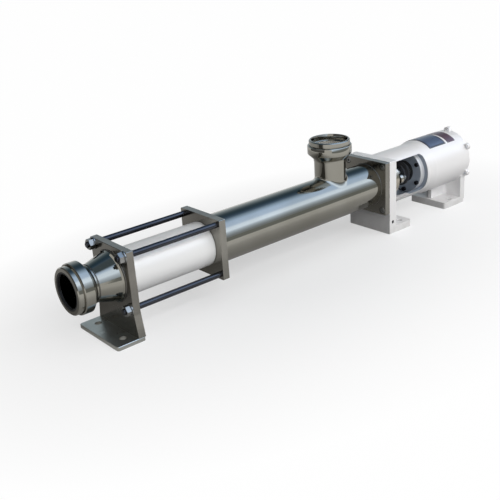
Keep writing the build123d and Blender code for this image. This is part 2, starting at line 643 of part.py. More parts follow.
# ------------------------------------------------------------- drive train
with BuildPart() as drive_shaft:
    add(turned([(S_SHAFT_WET, FLEX_R + RUB_CLEAR), (S_SHAFT_WET, SHAFT_R - 1.0),
                (S_SHAFT_WET + 1.0, SHAFT_R), (S_BRG_FRONT - 1.0, SHAFT_R),
                (S_BRG_FRONT - 1.0, BEARING_SEAT_R),
                (S_BRG_FRONT + BEARING_W, BEARING_SEAT_R),
                (S_BRG_FRONT + BEARING_W, SHAFT_WAIST_R),
                (S_BRG_REAR, SHAFT_WAIST_R), (S_BRG_REAR, BEARING_SEAT_R),
                (S_SHAFT_END - 1.0, BEARING_SEAT_R), (S_SHAFT_END, BEARING_SEAT_R - 1.0),
                (S_SHAFT_END, DRIVE_BORE_R + 0.8), (S_SHAFT_END - 0.8, DRIVE_BORE_R),
                (S_SHAFT_END - DRIVE_BORE_L, DRIVE_BORE_R), (S_SHAFT_END - DRIVE_BORE_L, 0.0),
                (S_SHAFT_WET + SOCKET_L, 0.0), (S_SHAFT_WET + SOCKET_L, FLEX_R + RUB_CLEAR)]))
    with BuildSketch(cross(S_SHAFT_END - DRIVE_BORE_L + 5.0)):
        with Locations((0, AXIS_H + KEYWAY_TOP / 2)):
            Rectangle(KEYWAY_W, KEYWAY_TOP)
    extrude(amount=DRIVE_BORE_L, mode=Mode.SUBTRACT)

with BuildPart() as slinger_ring:
    add(turned([(S_SLINGER, SHAFT_R), (S_SLINGER, SLINGER_HUB_R),
                (S_SLINGER + SLINGER_HUB_L, SLINGER_HUB_R),
                (S_SLINGER + SLINGER_L - 3.0, SLINGER_R), (S_SLINGER + SLINGER_L, SLINGER_R),
                (S_SLINGER + SLINGER_L, SHAFT_R)]))

FLEX_A = S_ROTOR_TAIL - SOCKET_L + 0.6
FLEX_BEND_A = S_ROTOR_TAIL + 6.0
FLEX_BEND_B = S_SHAFT_WET - 6.0
FLEX_B = S_SHAFT_WET + SOCKET_L - 0.6
BEND_L = FLEX_BEND_B - FLEX_BEND_A
with BuildPart() as flexible_shaft:
    with BuildLine(Plane.XZ) as centre_line:
        p0 = (FLEX_A + SHIFT, AXIS_H + ECC)
        p1 = (FLEX_BEND_A + SHIFT, AXIS_H + ECC)
        pm = (FLEX_BEND_A + BEND_L / 2 + SHIFT, AXIS_H + ECC / 2)
        p2 = (FLEX_BEND_B + SHIFT, AXIS_H)
        p3 = (FLEX_B + SHIFT, AXIS_H)
        Line(p0, p1)
        TangentArc(p1, pm, tangent=(1, 0))
        TangentArc(p2, pm, tangent=(-1, 0))
        Line(p2, p3)
    with BuildSketch(Plane(origin=(FLEX_A + SHIFT, 0, AXIS_H + ECC), z_dir=(1, 0, 0))):
        Circle(FLEX_R)
    sweep(path=centre_line.wire())

# ------------------------------------------------------------- export
PIECES = {
    "discharge_liner": discharge_liner.part, "discharge_seal_ring": discharge_seal_ring.part,
    "discharge_cone": discharge_cone.part, "discharge_flange": discharge_flange.part,
    "discharge_foot": discharge_foot.part, "tie_rods": tie_rods.part,
    "tie_rod_washers": tie_rod_washers.part, "tie_rod_nuts": tie_rod_nuts.part,
    "stator_tube": stator_tube.part, "stator_elastomer": stator_elastomer.part,
    "rotor": rotor.part, "housing_front_flange": housing_front_flange.part,
    "suction_housing": suction_housing.part, "suction_nozzle": suction_nozzle.part,
    "suction_liner": suction_liner.part, "housing_rear_flange": housing_rear_flange.part,
    "housing_screws": housing_screws.part, "bearing_bracket": bearing_bracket.part,
    "side_plugs": side_plugs.part, "seal_housing": seal_housing.part,
    "packing_rings": packing_rings.part, "gland_follower": gland_follower.part,
    "gland_studs": gland_studs.part, "gland_nuts": gland_nuts.part,
    "bearing_cover": bearing_cover.part, "bearing_cover_screws": bearing_cover_screws.part,
    "front_lip_seal": front_lip_seal.part, "bearing_outer_rings": bearing_outer_rings.part,
    "bearing_inner_rings": bearing_inner_rings.part, "bearing_rollers": bearing_rollers.part,
    "rear_cover": rear_cover.part, "rear_lip_seal": rear_lip_seal.part,
    "bearing_lock_nut": bearing_lock_nut.part, "drive_shaft": drive_shaft.part,
    "slinger_ring": slinger_ring.part, "flexible_shaft": flexible_shaft.part,
}
for piece_name, piece in PIECES.items():
    piece.label = piece_name
    export_step(piece, "parts/" + piece_name + ".step")
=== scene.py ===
"""Finishes, small parts and studio for the progressive cavity pump."""
from math import atan2, cos, degrees, pi, radians, sin, sqrt

import bmesh
import bpy
from mathutils import Matrix, Vector


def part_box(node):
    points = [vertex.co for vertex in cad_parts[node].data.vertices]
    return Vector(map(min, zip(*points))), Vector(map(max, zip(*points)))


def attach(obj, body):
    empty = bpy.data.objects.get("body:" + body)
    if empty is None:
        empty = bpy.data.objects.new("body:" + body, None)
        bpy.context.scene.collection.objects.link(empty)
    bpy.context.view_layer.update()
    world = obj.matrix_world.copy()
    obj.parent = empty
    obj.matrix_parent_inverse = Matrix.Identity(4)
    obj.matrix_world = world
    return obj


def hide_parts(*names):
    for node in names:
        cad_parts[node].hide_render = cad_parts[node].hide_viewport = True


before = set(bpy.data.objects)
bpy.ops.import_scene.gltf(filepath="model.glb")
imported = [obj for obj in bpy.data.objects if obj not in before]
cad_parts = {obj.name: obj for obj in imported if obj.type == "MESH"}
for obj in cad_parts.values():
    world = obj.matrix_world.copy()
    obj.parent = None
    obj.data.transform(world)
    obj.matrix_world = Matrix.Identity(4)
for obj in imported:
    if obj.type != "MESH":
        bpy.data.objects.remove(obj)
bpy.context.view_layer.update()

MM = 0.001
AXIS_H = 0.114                       # pump axis above the floor
AXIS = Vector((0, 0, AXIS_H))
ALONG = Vector((1, 0, 0))
UP = Vector((0, 0, 1))
SHIFT = -458.35                      # station 0, the discharge flange face, in x
TUBE_R = 50.8 * MM
NOZZLE_R = 35.0 * MM


def at(station):
    """x of a station along the pump, given in millimetres from the discharge flange face."""
    return (station + SHIFT) * MM


FLANGE_FACES = {"discharge": 0.0, "front": 224.5, "rear": 692.5}     # stations in mm
NECK = -46.3                         # station where the cone meets the union neck
GLAND_NUT_ENDS = 789.4               # station where the gland studs leave their nuts
NOZZLE_X = at(577.5)
SUCTION_TOP = AXIS_H + 136.0 * MM    # height of the suction union's lip
BARREL_R = 66.5 * MM                 # outside of the bearing barrel
PLATE_GAP = 0.2 * MM                 # room under the plates on the barrel
PLATE_THICK = 0.6 * MM

ROUND_SHAFT = (0, 1, 1), (0, 0, -AXIS_H)      # stretch and shift for the pump's axis
# Browner grey mixed into the white paint towards the bottom, up to the height below.
LOW_TINT = (0.42, 0.39, 0.35)
LOW_TINT_HEIGHT = 35.0 * MM
PAINT_EDGE = 0.5 * MM
# Painted shade: blue-grey for the reveal round the bracket's window, where shade falls.
REVEAL_SHADE = (0.27, 0.31, 0.37)
# Bright rim of the bearing cover: partly its machined edge, partly a painted highlight.
RIM_HIGHLIGHT = (0.72, 0.73, 0.74)
PICKLED_BORE = (0.66, 0.64, 0.58)


# ------------------------------------------------------------------ finishes
class Finish:
    """A material with its shader and the nodes that give it its surface."""

    def __init__(self, name, metallic=0.0, coat=0.0, coat_roughness=0.05, ior=1.5):
        self.material = bpy.data.materials.new(name)
        self.material.use_nodes = True
        self.tree = self.material.node_tree
        self.shader = self.tree.nodes["Principled BSDF"]
        self.shader.inputs["Metallic"].default_value = metallic
        self.shader.inputs["Coat Weight"].default_value = coat
        self.shader.inputs["Coat Roughness"].default_value = coat_roughness
        self.shader.inputs["IOR"].default_value = ior
        self.coords = self.node("ShaderNodeTexCoord").outputs["Object"]

    def node(self, kind, **settings):
        made = self.tree.nodes.new(kind)
        for key, value in settings.items():
            setattr(made, key, value)
        return made

    def link(self, source, target):
        self.tree.links.new(source, target)

    def placed(self, stretch=(1, 1, 1), shift=(0, 0, 0)):
        """Object coordinates, stretched and moved."""
        mapping = self.node("ShaderNodeMapping")
        mapping.inputs["Location"].default_value = shift
        mapping.inputs["Scale"].default_value = stretch
        self.link(self.coords, mapping.inputs["Vector"])
        return mapping.outputs["Vector"]

    def xyz(self):
        """The three object coordinates, each as an output."""
        made = self.node("ShaderNodeSeparateXYZ")
        self.link(self.coords, made.inputs["Vector"])
        return made.outputs["X"], made.outputs["Y"], made.outputs["Z"]

    def noise(self, scale, detail=3.0, stretch=(1, 1, 1), roughness=0.5, distortion=0.0):
        made = self.node("ShaderNodeTexNoise")
        made.inputs["Scale"].default_value = scale
        made.inputs["Detail"].default_value = detail
        made.inputs["Roughness"].default_value = roughness
        made.inputs["Distortion"].default_value = distortion
        self.link(self.placed(stretch), made.inputs["Vector"])
        return made.outputs["Fac"]

    def ranged(self, value, low, high, to_low, to_high):
        """Value between low and high carried over to the range to_low to to_high."""
        made = self.node("ShaderNodeMapRange")
        for name, number in (("From Min", low), ("From Max", high),
                             ("To Min", to_low), ("To Max", to_high)):
            made.inputs[name].default_value = number
        self.link(value, made.inputs["Value"])
        return made.outputs["Result"]

    def reach(self, stretch, shift=(0, 0, 0)):
        """Distance from the origin, or from a line that has stretch 0 along it. The shift
        brings the line to the origin."""
        made = self.node("ShaderNodeVectorMath", operation="LENGTH")
        self.link(self.placed(stretch, shift), made.inputs[0])
        return made.outputs["Value"]

    def maths(self, operation, first, second):
        made = self.node("ShaderNodeMath", operation=operation)
        for slot, value in zip(made.inputs, (first, second)):
            if isinstance(value, (int, float)):
                slot.default_value = value
            else:
                self.link(value, slot)
        return made.outputs["Value"]

    def blended(self, factor, first, second):
        """Colour between two colours or colour outputs."""
        made = self.node("ShaderNodeMix", data_type="RGBA")
        self.link(factor, made.inputs["Factor"])
        for slot, value in ((made.inputs[6], first), (made.inputs[7], second)):
            if isinstance(value, tuple):
                slot.default_value = (*value, 1)
            else:
                self.link(value, slot)
        return made.outputs[2]

    def colour(self, output):
        self.link(output, self.shader.inputs["Base Color"])

    def roughness(self, output):
        self.link(output, self.shader.inputs["Roughness"])

    def bump(self, height, strength, distance, under=None):
        """Bump on the surface, laid over another bump where one is given."""
        made = self.node("ShaderNodeBump")
        made.inputs["Strength"].default_value = strength
        made.inputs["Distance"].default_value = distance
        self.link(height, made.inputs["Height"])
        if under is not None:
            self.link(under, made.inputs["Normal"])
        self.link(made.outputs["Normal"], self.shader.inputs["Normal"])
        return made.outputs["Normal"]


def polished_steel(name, light, deep, rough=(0.03, 0.10), waviness=0.25, lines=(1, 1, 1),
                   satin_bore=None):
    """Mirror polished stainless: faint waviness, buffing lines and smears."""
    f = Finish(name, metallic=1.0)
    cloud = f.noise(9.0, 4.0)
    smear = f.noise(38.0, 5.0, (1.0, 2.2, 2.2), 0.6, 0.8)
    shade = f.blended(f.ranged(cloud, 0.35, 0.65, 0, 1), deep, light)
    polish = f.ranged(smear, 0.35, 0.75, rough[0], rough[1])
    if satin_bore:
        x, radius = satin_bore
        inside = f.ranged(f.reach((1, 1, 0), (-x, 0, 0)), radius - 0.5 * MM, radius, 1, 0)
        f.link(f.ranged(inside, 0, 1, 1.0, 0.25), f.shader.inputs["Metallic"])
        shade = f.blended(inside, shade, PICKLED_BORE)
        polish = f.maths("ADD", polish, f.maths("MULTIPLY", inside, 0.22))
    f.colour(shade)
    f.roughness(polish)
    wave = f.noise(14.0, 2.0)
    first = f.bump(wave, waviness, 0.0006)
    f.bump(f.noise(420.0, 2.0, lines), 0.05, 0.0001, first)
    return f.material


def turned_steel(name, light, deep, rough=(0.16, 0.34), lines=(9, 1, 1), strength=0.25,
                 metallic=1.0, rim_highlight=None):
    """Machined stainless with fine tool lines square to the pump axis."""
    f = Finish(name, metallic=metallic)
    cloud = f.noise(30.0, 4.0)
    tool = f.noise(260.0, 3.0, lines)
    shade = f.blended(f.ranged(cloud, 0.3, 0.7, 0, 1), deep, light)
    # Painted highlight: a bright band from the given radius outwards, partly a machined edge.
    if rim_highlight:
        rim = f.ranged(f.reach(*ROUND_SHAFT), rim_highlight - 0.4 * MM, rim_highlight, 0, 1)
        shade = f.blended(rim, shade, RIM_HIGHLIGHT)
    f.colour(shade)
    f.roughness(f.ranged(f.maths("ADD", cloud, tool), 0.7, 1.3, rough[0], rough[1]))
    f.bump(tool, strength, 0.0001)
    return f.material


def gloss_paint(name, light, dull, texture=0.25, grain=120.0, low_tint_strength=0.0, shaded_reveal=None):
    """White gloss enamel: slight orange peel, duller patches, darker towards the bottom,
    painted shade in a bore's reveal.
    """
    f = Finish(name, coat=0.5, coat_roughness=0.22)
    cloud = f.noise(7.0, 5.0)
    fleck = f.noise(65.0, 6.0, roughness=0.65)
    shade = f.blended(f.ranged(cloud, 0.35, 0.7, 0, 1), light, dull)
    # Darker, browner towards the bottom, in flecks.
    if low_tint_strength:
        low = f.ranged(f.xyz()[2], 0.0, LOW_TINT_HEIGHT, low_tint_strength, 0.0)
        low_tint_mask = f.maths("MULTIPLY", low, f.ranged(fleck, 0.35, 0.65, 0.2, 1.0))
        shade = f.blended(low_tint_mask, shade, LOW_TINT)
    # Painted shade: the bore and window reveal between two stations are coloured blue-grey, for
    # the shade there.
    if shaded_reveal:
        first_x, last_x, radius = shaded_reveal
        x = f.xyz()[0]
        held = f.maths("MULTIPLY", f.ranged(x, first_x - PAINT_EDGE, first_x, 0, 1),
                       f.ranged(x, last_x, last_x + PAINT_EDGE, 1, 0))
        inner = f.ranged(f.reach(*ROUND_SHAFT), radius - PAINT_EDGE, radius, 1, 0)
        shade = f.blended(f.maths("MULTIPLY", held, inner), shade, REVEAL_SHADE)
    f.colour(shade)
    f.roughness(f.ranged(fleck, 0.3, 0.7, 0.30, 0.42))
    first = f.bump(f.noise(grain, 2.0), texture, 0.0002)
    f.bump(f.noise(900.0, 2.0), 0.03, 0.0001, first)
    return f.material


def moulded_rubber(name, light, deep):
    """Black rubber with a soft bloom."""
    f = Finish(name)
    bloom = f.noise(55.0, 5.0, roughness=0.6)
    f.colour(f.blended(f.ranged(bloom, 0.35, 0.75, 0, 1), deep, light))
    f.roughness(f.ranged(bloom, 0.3, 0.7, 0.45, 0.7))
    f.bump(f.noise(700.0, 3.0), 0.3, 0.0002)
    return f.material


def braided_packing(name):
    """Square braided packing with a waxy face."""
    f = Finish(name)
    braid = f.node("ShaderNodeTexWave", wave_type="BANDS", bands_direction="DIAGONAL")
    braid.inputs["Scale"].default_value = 160.0
    braid.inputs["Distortion"].default_value = 1.5
    f.link(f.coords, braid.inputs["Vector"])
    f.colour(f.blended(braid.outputs["Fac"], (0.22, 0.20, 0.16), (0.48, 0.45, 0.38)))
    f.roughness(f.ranged(braid.outputs["Fac"], 0, 1, 0.5, 0.8))
    f.bump(braid.outputs["Fac"], 0.5, 0.0006)
    return f.material


def enamel_plate(name, light, deep):
    """Enamelled metal plate, satin, a little scuffed."""
    f = Finish(name, coat=0.4, coat_roughness=0.15)
    scuff = f.noise(90.0, 6.0, (0.4, 3.0, 3.0), 0.65)
    f.colour(f.blended(f.ranged(scuff, 0.35, 0.75, 0, 1), deep, light))
    f.roughness(f.ranged(scuff, 0.3, 0.7, 0.25, 0.45))
    f.bump(f.noise(500.0, 2.0), 0.1, 0.0001)
    return f.material


MIRROR_LIGHT, MIRROR_DEEP = (0.31, 0.30, 0.265), (0.27, 0.26, 0.225)
mirror = polished_steel("mirror_stainless", MIRROR_LIGHT, MIRROR_DEEP, (0.05, 0.12), 0.10)
mirror_port = polished_steel("mirror_stainless_port", MIRROR_LIGHT, MIRROR_DEEP, (0.05, 0.12),
                             0.10, satin_bore=(NOZZLE_X, 34.0 * MM))
mirror_plate = polished_steel("polished_plate", (0.28, 0.27, 0.24), (0.20, 0.19, 0.17),
                              (0.14, 0.30), 0.15, (1, 1, 6))
brushed_foot = polished_steel("brushed_foot", (0.52, 0.52, 0.48), (0.40, 0.40, 0.36),
                              (0.26, 0.42), 0.15, (6, 1, 1))
# Painted reflection: the tie rods are near-black, standing in for the dark surroundings that
# steel rods mirror.
dark_bar = polished_steel("dark_bar_painted_reflection", (0.075, 0.077, 0.085), (0.045, 0.047, 0.055),
                          (0.16, 0.32), 0.1, (0.2, 6, 6))
weld = turned_steel("weld_bead", (0.19, 0.18, 0.165), (0.11, 0.105, 0.095), (0.2, 0.4),
                    (3, 3, 3), 0.4)
seal_steel = turned_steel("polished_seal_body", (0.52, 0.48, 0.41), (0.36, 0.33, 0.28),
                          (0.14, 0.28))
satin = turned_steel("satin_stainless", (0.50, 0.50, 0.48), (0.38, 0.38, 0.37))
ground = turned_steel("ground_bearing_steel", (0.60, 0.60, 0.62), (0.52, 0.52, 0.54),
                      (0.08, 0.2), (12, 1, 1), 0.12)
bolts = turned_steel("bolt_steel", (0.34, 0.34, 0.33), (0.22, 0.22, 0.21), (0.2, 0.38),
                     (2, 2, 2), 0.4)
# The cover's rim is light: partly its machined edge, partly a painted highlight.
cover_grey = turned_steel("grey_bearing_cover", (0.46, 0.52, 0.60), (0.34, 0.39, 0.46),
                          (0.3, 0.5), (1, 1, 1), 0.2, 0.25, 49.5 * MM)
tube_paint = gloss_paint("white_tube_enamel", (0.92, 0.92, 0.91), (0.905, 0.905, 0.90), 0.02,
                         60.0)
# The bracket darkens towards the bottom, and its window reveal carries painted shade.
cast_paint = gloss_paint("white_cast_enamel", (0.89, 0.88, 0.875), (0.86, 0.85, 0.85), 0.03,
                         60.0, 0.30, (at(800.0), at(850.0), 61.8 * MM))
rubber = moulded_rubber("black_rubber", (0.045, 0.045, 0.05), (0.012, 0.012, 0.013))
packing = braided_packing("braided_packing")
black_plug = turned_steel("blackened_steel", (0.05, 0.05, 0.055), (0.02, 0.02, 0.022),
                          (0.3, 0.45))

FINISHES = {
    mirror: ["discharge_liner", "discharge_cone", "suction_housing", "rotor"],
    mirror_port: ["suction_nozzle", "suction_liner"],
    mirror_plate: ["discharge_flange", "housing_front_flange", "housing_rear_flange"],
    brushed_foot: ["discharge_foot"],
    dark_bar: ["tie_rods"],
    bolts: ["tie_rod_washers", "tie_rod_nuts", "housing_screws", "gland_nuts", "gland_studs"],
    tube_paint: ["stator_tube"],
    cast_paint: ["bearing_bracket"],
    rubber: ["discharge_seal_ring", "stator_elastomer", "front_lip_seal", "rear_lip_seal",
             "slinger_ring"],
    packing: ["packing_rings"],
    black_plug: ["side_plugs", "bearing_cover_screws"],
    seal_steel: ["seal_housing", "gland_follower"],
    satin: ["rear_cover", "bearing_lock_nut", "drive_shaft", "flexible_shaft"],
    cover_grey: ["bearing_cover"],
    ground: ["bearing_outer_rings", "bearing_inner_rings", "bearing_rollers"],
}
for finish, names in FINISHES.items():
    for name in names:
        for place in bpy.data.objects[name].material_slots:
            place.material = finish


# --------------------------------------------------------------- small parts
def thing(name, work, finish):
    """Object made from a bmesh, with its finish."""
    mesh = bpy.data.meshes.new(name)
    work.to_mesh(mesh)
    work.free()
    mesh.materials.append(finish)
    made = bpy.data.objects.new(name, mesh)
    bpy.context.scene.collection.objects.link(made)
    return made


def piece(name, work, finish):
    """Piece of the pump made from a bmesh, shaded smooth and fixed to the frame."""
    bmesh.ops.recalc_face_normals(work, faces=work.faces)
    made = thing(name, work, finish)
    made.data.shade_smooth()
    made.data.set_sharp_from_angle(angle=radians(35))
    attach(made, "pump_frame")
    return made


def spun(work, centre, axis, steps, turn=2 * pi, drift=(0, 0, 0)):
    """Spin what the bmesh holds: a whole turn closes on itself, a drift makes a screw."""
    whole = abs(turn - 2 * pi) < 1e-6 and drift == (0, 0, 0)
    bmesh.ops.spin(work, geom=work.verts[:] + work.edges[:], cent=centre, axis=axis,
                   dvec=Vector(drift) / steps, angle=turn, steps=steps, use_merge=whole,
                   use_duplicate=False)
    bmesh.ops.remove_doubles(work, verts=work.verts, dist=1e-6)


def outline(work, points):
    """Closed loop of edges through the points."""
    verts = [work.verts.new(q) for q in points]
    for i, v in enumerate(verts):
        work.edges.new((verts[i - 1], v))


RIPPLE = 0.06                        # swell of a weld bead, as a share of its thickness


def weld_ring(name, station, radius, bead, ripples=90):
    """Weld bead round the pump axis, with the overlapping ripples of each pass."""
    work = bmesh.new()
    bmesh.ops.create_circle(work, segments=12, radius=bead)
    bmesh.ops.rotate(work, verts=work.verts, matrix=Matrix.Rotation(radians(90), 3, "X"))
    bmesh.ops.translate(work, verts=work.verts, vec=(at(station), 0, AXIS_H + radius))
    spun(work, AXIS, ALONG, ripples * 4)
    for v in work.verts:
        arm = Vector((0, v.co.y, v.co.z - AXIS_H))
        core = arm.normalized() * radius + AXIS + ALONG * at(station)
        wave = 1.0 + RIPPLE * sin(ripples * atan2(arm.y, arm.z))
        v.co = core + (v.co - core) * wave
    piece(name, work, weld)


def nozzle_fillet():
    """Drawn collar where the suction pipe leaves the housing tube."""
    radius, arcs = 6.0 * MM, 8
    work = bmesh.new()
    top, sunk = AXIS_H + TUBE_R, 0.6 * MM
    wall = NOZZLE_X + NOZZLE_R
    points = [(wall - sunk, 0, top + radius)]
    for i in range(arcs + 1):
        a = pi + pi / 2 * i / arcs
        points.append((wall + radius * (1 + cos(a)), 0,
                       top + radius * (1 + sin(a)) + 0.05 * MM))
    points += [(wall + radius, 0, top - sunk), (wall - sunk, 0, top - sunk)]
    outline(work, points)
    spun(work, (NOZZLE_X, 0, 0), UP, 96)
    for v in work.verts:
        v.co.z += sqrt(TUBE_R ** 2 - v.co.y ** 2) - TUBE_R
    piece("nozzle_fillet", work, mirror)


def thread(work, start, axis, length, radius, pitch, depth):
    """Screw thread standing on a rod: a ridge wound along it."""
    part = bmesh.new()
    side = axis.orthogonal().normalized()
    root = start + side * (radius - 0.1 * MM)
    outline(part, [root, root + axis * pitch * 0.45 + side * depth * 0.75,
                   root + axis * pitch * 0.9])
    turns = length / pitch - 1
    spun(part, start, axis, int(turns * 20), 2 * pi * turns, tuple(axis * pitch * turns))
    bmesh.ops.holes_fill(part, edges=part.edges, sides=3)
    held = bpy.data.meshes.new("thread_part")
    part.to_mesh(held)
    part.free()
    work.from_mesh(held)
    bpy.data.meshes.remove(held)


weld_ring("neck_weld", NECK, 35.9 * MM, 1.3 * MM, 64)
weld_ring("cone_weld", FLANGE_FACES["discharge"], 50.0 * MM, 1.6 * MM)
weld_ring("front_flange_weld", FLANGE_FACES["front"], TUBE_R, 1.5 * MM)
weld_ring("rear_flange_weld", FLANGE_FACES["rear"], TUBE_R, 1.2 * MM)
nozzle_fillet()


def suction_mouth():
    """Suction union end with its wide seal recess and rounded lip."""
    work = bmesh.new()
    outline(work, [(NOZZLE_X + r * MM, 0, SUCTION_TOP - d * MM) for d, r in (
        (14.0, 33.0), (14.0, 39.8), (13.3, 40.5), (0.9, 40.5), (0.3, 40.8), (0.0, 41.4),
        (0.0, 43.2), (0.2, 43.8), (2.0, 45.5), (9.2, 45.5), (9.5, 45.2), (9.5, 44.0),
        (12.0, 44.0), (12.0, 47.5), (12.4, 48.3), (13.5, 49.0), (30.4, 49.0), (31.0, 48.6),
        (42.6, 36.4), (43.4, 36.0), (47.0, 36.0), (47.0, 33.0))])
    spun(work, (NOZZLE_X, 0, 0), UP, 128)
    made = piece("suction_union_end", work, mirror_port)
    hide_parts("suction_liner")


def gland_threads():
    """Threads on the ends of the gland studs, past their nuts."""
    work = bmesh.new()
    for y in (-33.0 * MM, 33.0 * MM):
        thread(work, Vector((at(GLAND_NUT_ENDS), y, AXIS_H)), ALONG, 6.6 * MM, 5.0 * MM,
               pitch=1.5 * MM, depth=0.5 * MM)
    piece("gland_stud_threads", work, bolts)


suction_mouth()
gland_threads()


def curved_plate(name, x0, x1, half_angle, over, thick, finish):
    """Bare plate bent round the barrel, at a height over it."""
    work = bmesh.new()
    bmesh.ops.create_grid(work, x_segments=2, y_segments=24, size=0.5)
    for v in work.verts:
        a = 2 * radians(half_angle) * v.co.y
        v.co = Vector((x0 + (x1 - x0) * (v.co.x + 0.5), (BARREL_R + over) * sin(a),
                       AXIS_H + (BARREL_R + over) * cos(a)))
    bmesh.ops.solidify(work, geom=work.faces[:], thickness=-thick)
    piece(name, work, finish)


def plate_rivets(name, places):
    """Domed rivets at the corners of a curved plate."""
    work = bmesh.new()
    height = BARREL_R + PLATE_GAP + PLATE_THICK
    for x in places:
        for side in (-1, 1):
            a = side * radians(36.5)
            made = bmesh.ops.create_uvsphere(work, u_segments=16, v_segments=8,
                                             radius=1.5 * MM)["verts"]
            bmesh.ops.scale(work, vec=(1, 1, 0.45), verts=made)
            bmesh.ops.rotate(work, verts=made, matrix=Matrix.Rotation(-a, 3, "X"))
            bmesh.ops.translate(work, verts=made, vec=(x, height * sin(a),
                                                       AXIS_H + height * cos(a)))
    piece(name, work, bolts)


rear_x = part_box("bearing_bracket")[1][0]      # rear face of the bracket
dark_edge = enamel_plate("dark_plate_edge", (0.05, 0.05, 0.07), (0.03, 0.03, 0.045))
blue_enamel = enamel_plate("blue_enamel", (0.095, 0.125, 0.20), (0.07, 0.095, 0.16))
maroon_enamel = enamel_plate("maroon_enamel", (0.115, 0.055, 0.072), (0.085, 0.042, 0.055))
curved_plate("blue_plate_edge", rear_x - 0.130, rear_x - 0.067, 38.5, PLATE_GAP, PLATE_THICK,
             dark_edge)
curved_plate("blue_plate", rear_x - 0.1255, rear_x - 0.0715, 34.5, 0.7 * MM, 0.4 * MM,
             blue_enamel)
curved_plate("maroon_plate", rear_x - 0.059, rear_x - 0.030, 38.5, PLATE_GAP, PLATE_THICK,
             maroon_enamel)
plate_rivets("blue_plate_rivets", (rear_x - 0.1277, rear_x - 0.0693))
plate_rivets("maroon_plate_rivets", (rear_x - 0.0565, rear_x - 0.0325))


# ------------------------------------------------------------------ the studio
def emission(name, colour):
    """Even glow of one colour."""
    made = bpy.data.materials.new(name)
    made.use_nodes = True
    tree = made.node_tree
    tree.nodes.clear()
    glow = tree.nodes.new("ShaderNodeEmission")
    glow.inputs["Color"].default_value = (*colour, 1)
    glow.inputs["Strength"].default_value = 1.0
    out = tree.nodes.new("ShaderNodeOutputMaterial")
    tree.links.new(glow.outputs["Emission"], out.inputs["Surface"])
    return made


def seen_directly(tree):
    """1 for camera, mirror and glass rays, 0 for the light that falls on things."""
    path = tree.nodes.new("ShaderNodeLightPath")
    value = path.outputs["Is Camera Ray"]
    for name in ("Is Glossy Ray", "Is Transmission Ray"):
        most = tree.nodes.new("ShaderNodeMath")
        most.operation = "MAXIMUM"
        tree.links.new(value, most.inputs[0])
        tree.links.new(path.outputs[name], most.inputs[1])
        value = most.outputs["Value"]
    return value


def make_floor():
    """Pale floor, whiter further off, that keeps the pump's shadow, with a painted shadow near
    the pump that only mirrors see.
    """
    work = bmesh.new()
    bmesh.ops.create_grid(work, x_segments=1, y_segments=1, size=40.0)
    pale = Finish("pale_floor")
    pale.roughness(pale.ranged(pale.noise(40.0), 0, 1, 0.85, 0.95))
    seen = seen_directly(pale.tree)
    pale.colour(pale.blended(seen, (0.16, 0.155, 0.15), (0.94, 0.94, 0.94)))
    away = pale.ranged(pale.reach((1, 1.6, 1)), 0.25, 0.95, 0.47, 0.99)
    white = pale.node("ShaderNodeEmission")
    open_floor = pale.node("ShaderNodeMixShader")
    pale.link(pale.maths("MULTIPLY", seen, away), open_floor.inputs["Fac"])
    pale.link(pale.shader.outputs["BSDF"], open_floor.inputs[1])
    pale.link(white.outputs["Emission"], open_floor.inputs[2])

    y = pale.xyz()[1]                # painted shadow: to glossy rays the floor near the pump is darkened, for polished steel to mirror
    shade = pale.maths("MULTIPLY", pale.ranged(y, -0.30, 0.12, 0, 0.86),
                       pale.ranged(y, 0.15, 0.50, 1, 0.55))
    shade = pale.maths("MULTIPLY", shade, pale.ranged(pale.reach((1, 1, 1)), 0.8, 2.2, 1, 0.25))
    # Painted shadow: glossy rays see a dark glow mixed into the floor near the pump.
    mirrored = pale.node("ShaderNodeLightPath").outputs["Is Glossy Ray"]
    floor_painted_shadow = pale.node("ShaderNodeEmission")
    floor_painted_shadow.inputs["Color"].default_value = (0.060, 0.056, 0.050, 1)
    close = pale.node("ShaderNodeMixShader")
    pale.link(pale.maths("MULTIPLY", mirrored, shade), close.inputs["Fac"])
    pale.link(open_floor.outputs["Shader"], close.inputs[1])
    pale.link(floor_painted_shadow.outputs["Emission"], close.inputs[2])
    pale.link(close.outputs["Shader"], pale.tree.nodes["Material Output"].inputs["Surface"])
    thing("floor", work, pale.material)


def mirror_stage(name, work, material):
    """Stage piece that paints a reflection into polished steel: it gives no light and isn't
    seen itself.
    """
    made = thing(name, work, material)
    made.visible_camera = False
    made.visible_diffuse = False
    made.visible_shadow = False


def drawn_out(work, points, reach):
    """Strip drawn from an open line of points, along the vector reach."""
    verts = [work.verts.new(q) for q in points]
    edges = [work.edges.new(pair) for pair in zip(verts, verts[1:])]
    extruded = bmesh.ops.extrude_edge_only(work, edges=edges)
    moved = [v for v in extruded["geom"] if isinstance(v, bmesh.types.BMVert)]
    bmesh.ops.translate(work, verts=moved, vec=reach)


def round_axis(angle, distance, x):
    """Point at an angle from straight up towards the near side, about the pump axis."""
    a = radians(angle)
    return (x, -distance * sin(a), AXIS_H + distance * cos(a))


SKY_GLOW = 3.0
SKY = [               # degrees from straight up towards the near side, and the painted reflection steel mirrors there
    (-84, (0.56, 0.62, 0.65)), (-66, (0.48, 0.56, 0.62)), (-52, (0.22, 0.29, 0.35)),
    (-42, (0.08, 0.14, 0.19)), (-32, (0.03, 0.08, 0.13)), (-20, (0.04, 0.10, 0.18)),
    (-10, (0.13, 0.23, 0.39)), (0, (0.50, 0.73, 1.06)), (14, (1.00, 1.36, 1.98)),
    (32, (1.16, 1.50, 2.10)), (41, (1.80, 2.15, 2.70)), (52, (1.90, 2.25, 2.80)),
    (57, (1.25, 1.48, 1.85)), (64, (0.80, 0.95, 1.16)), (74, (0.44, 0.50, 0.57)),
    (84, (0.40, 0.44, 0.46)),
]
DARK_STRETCH = (0.037, 0.053, 0.067)          # as a share of SKY_GLOW, as the bands end up


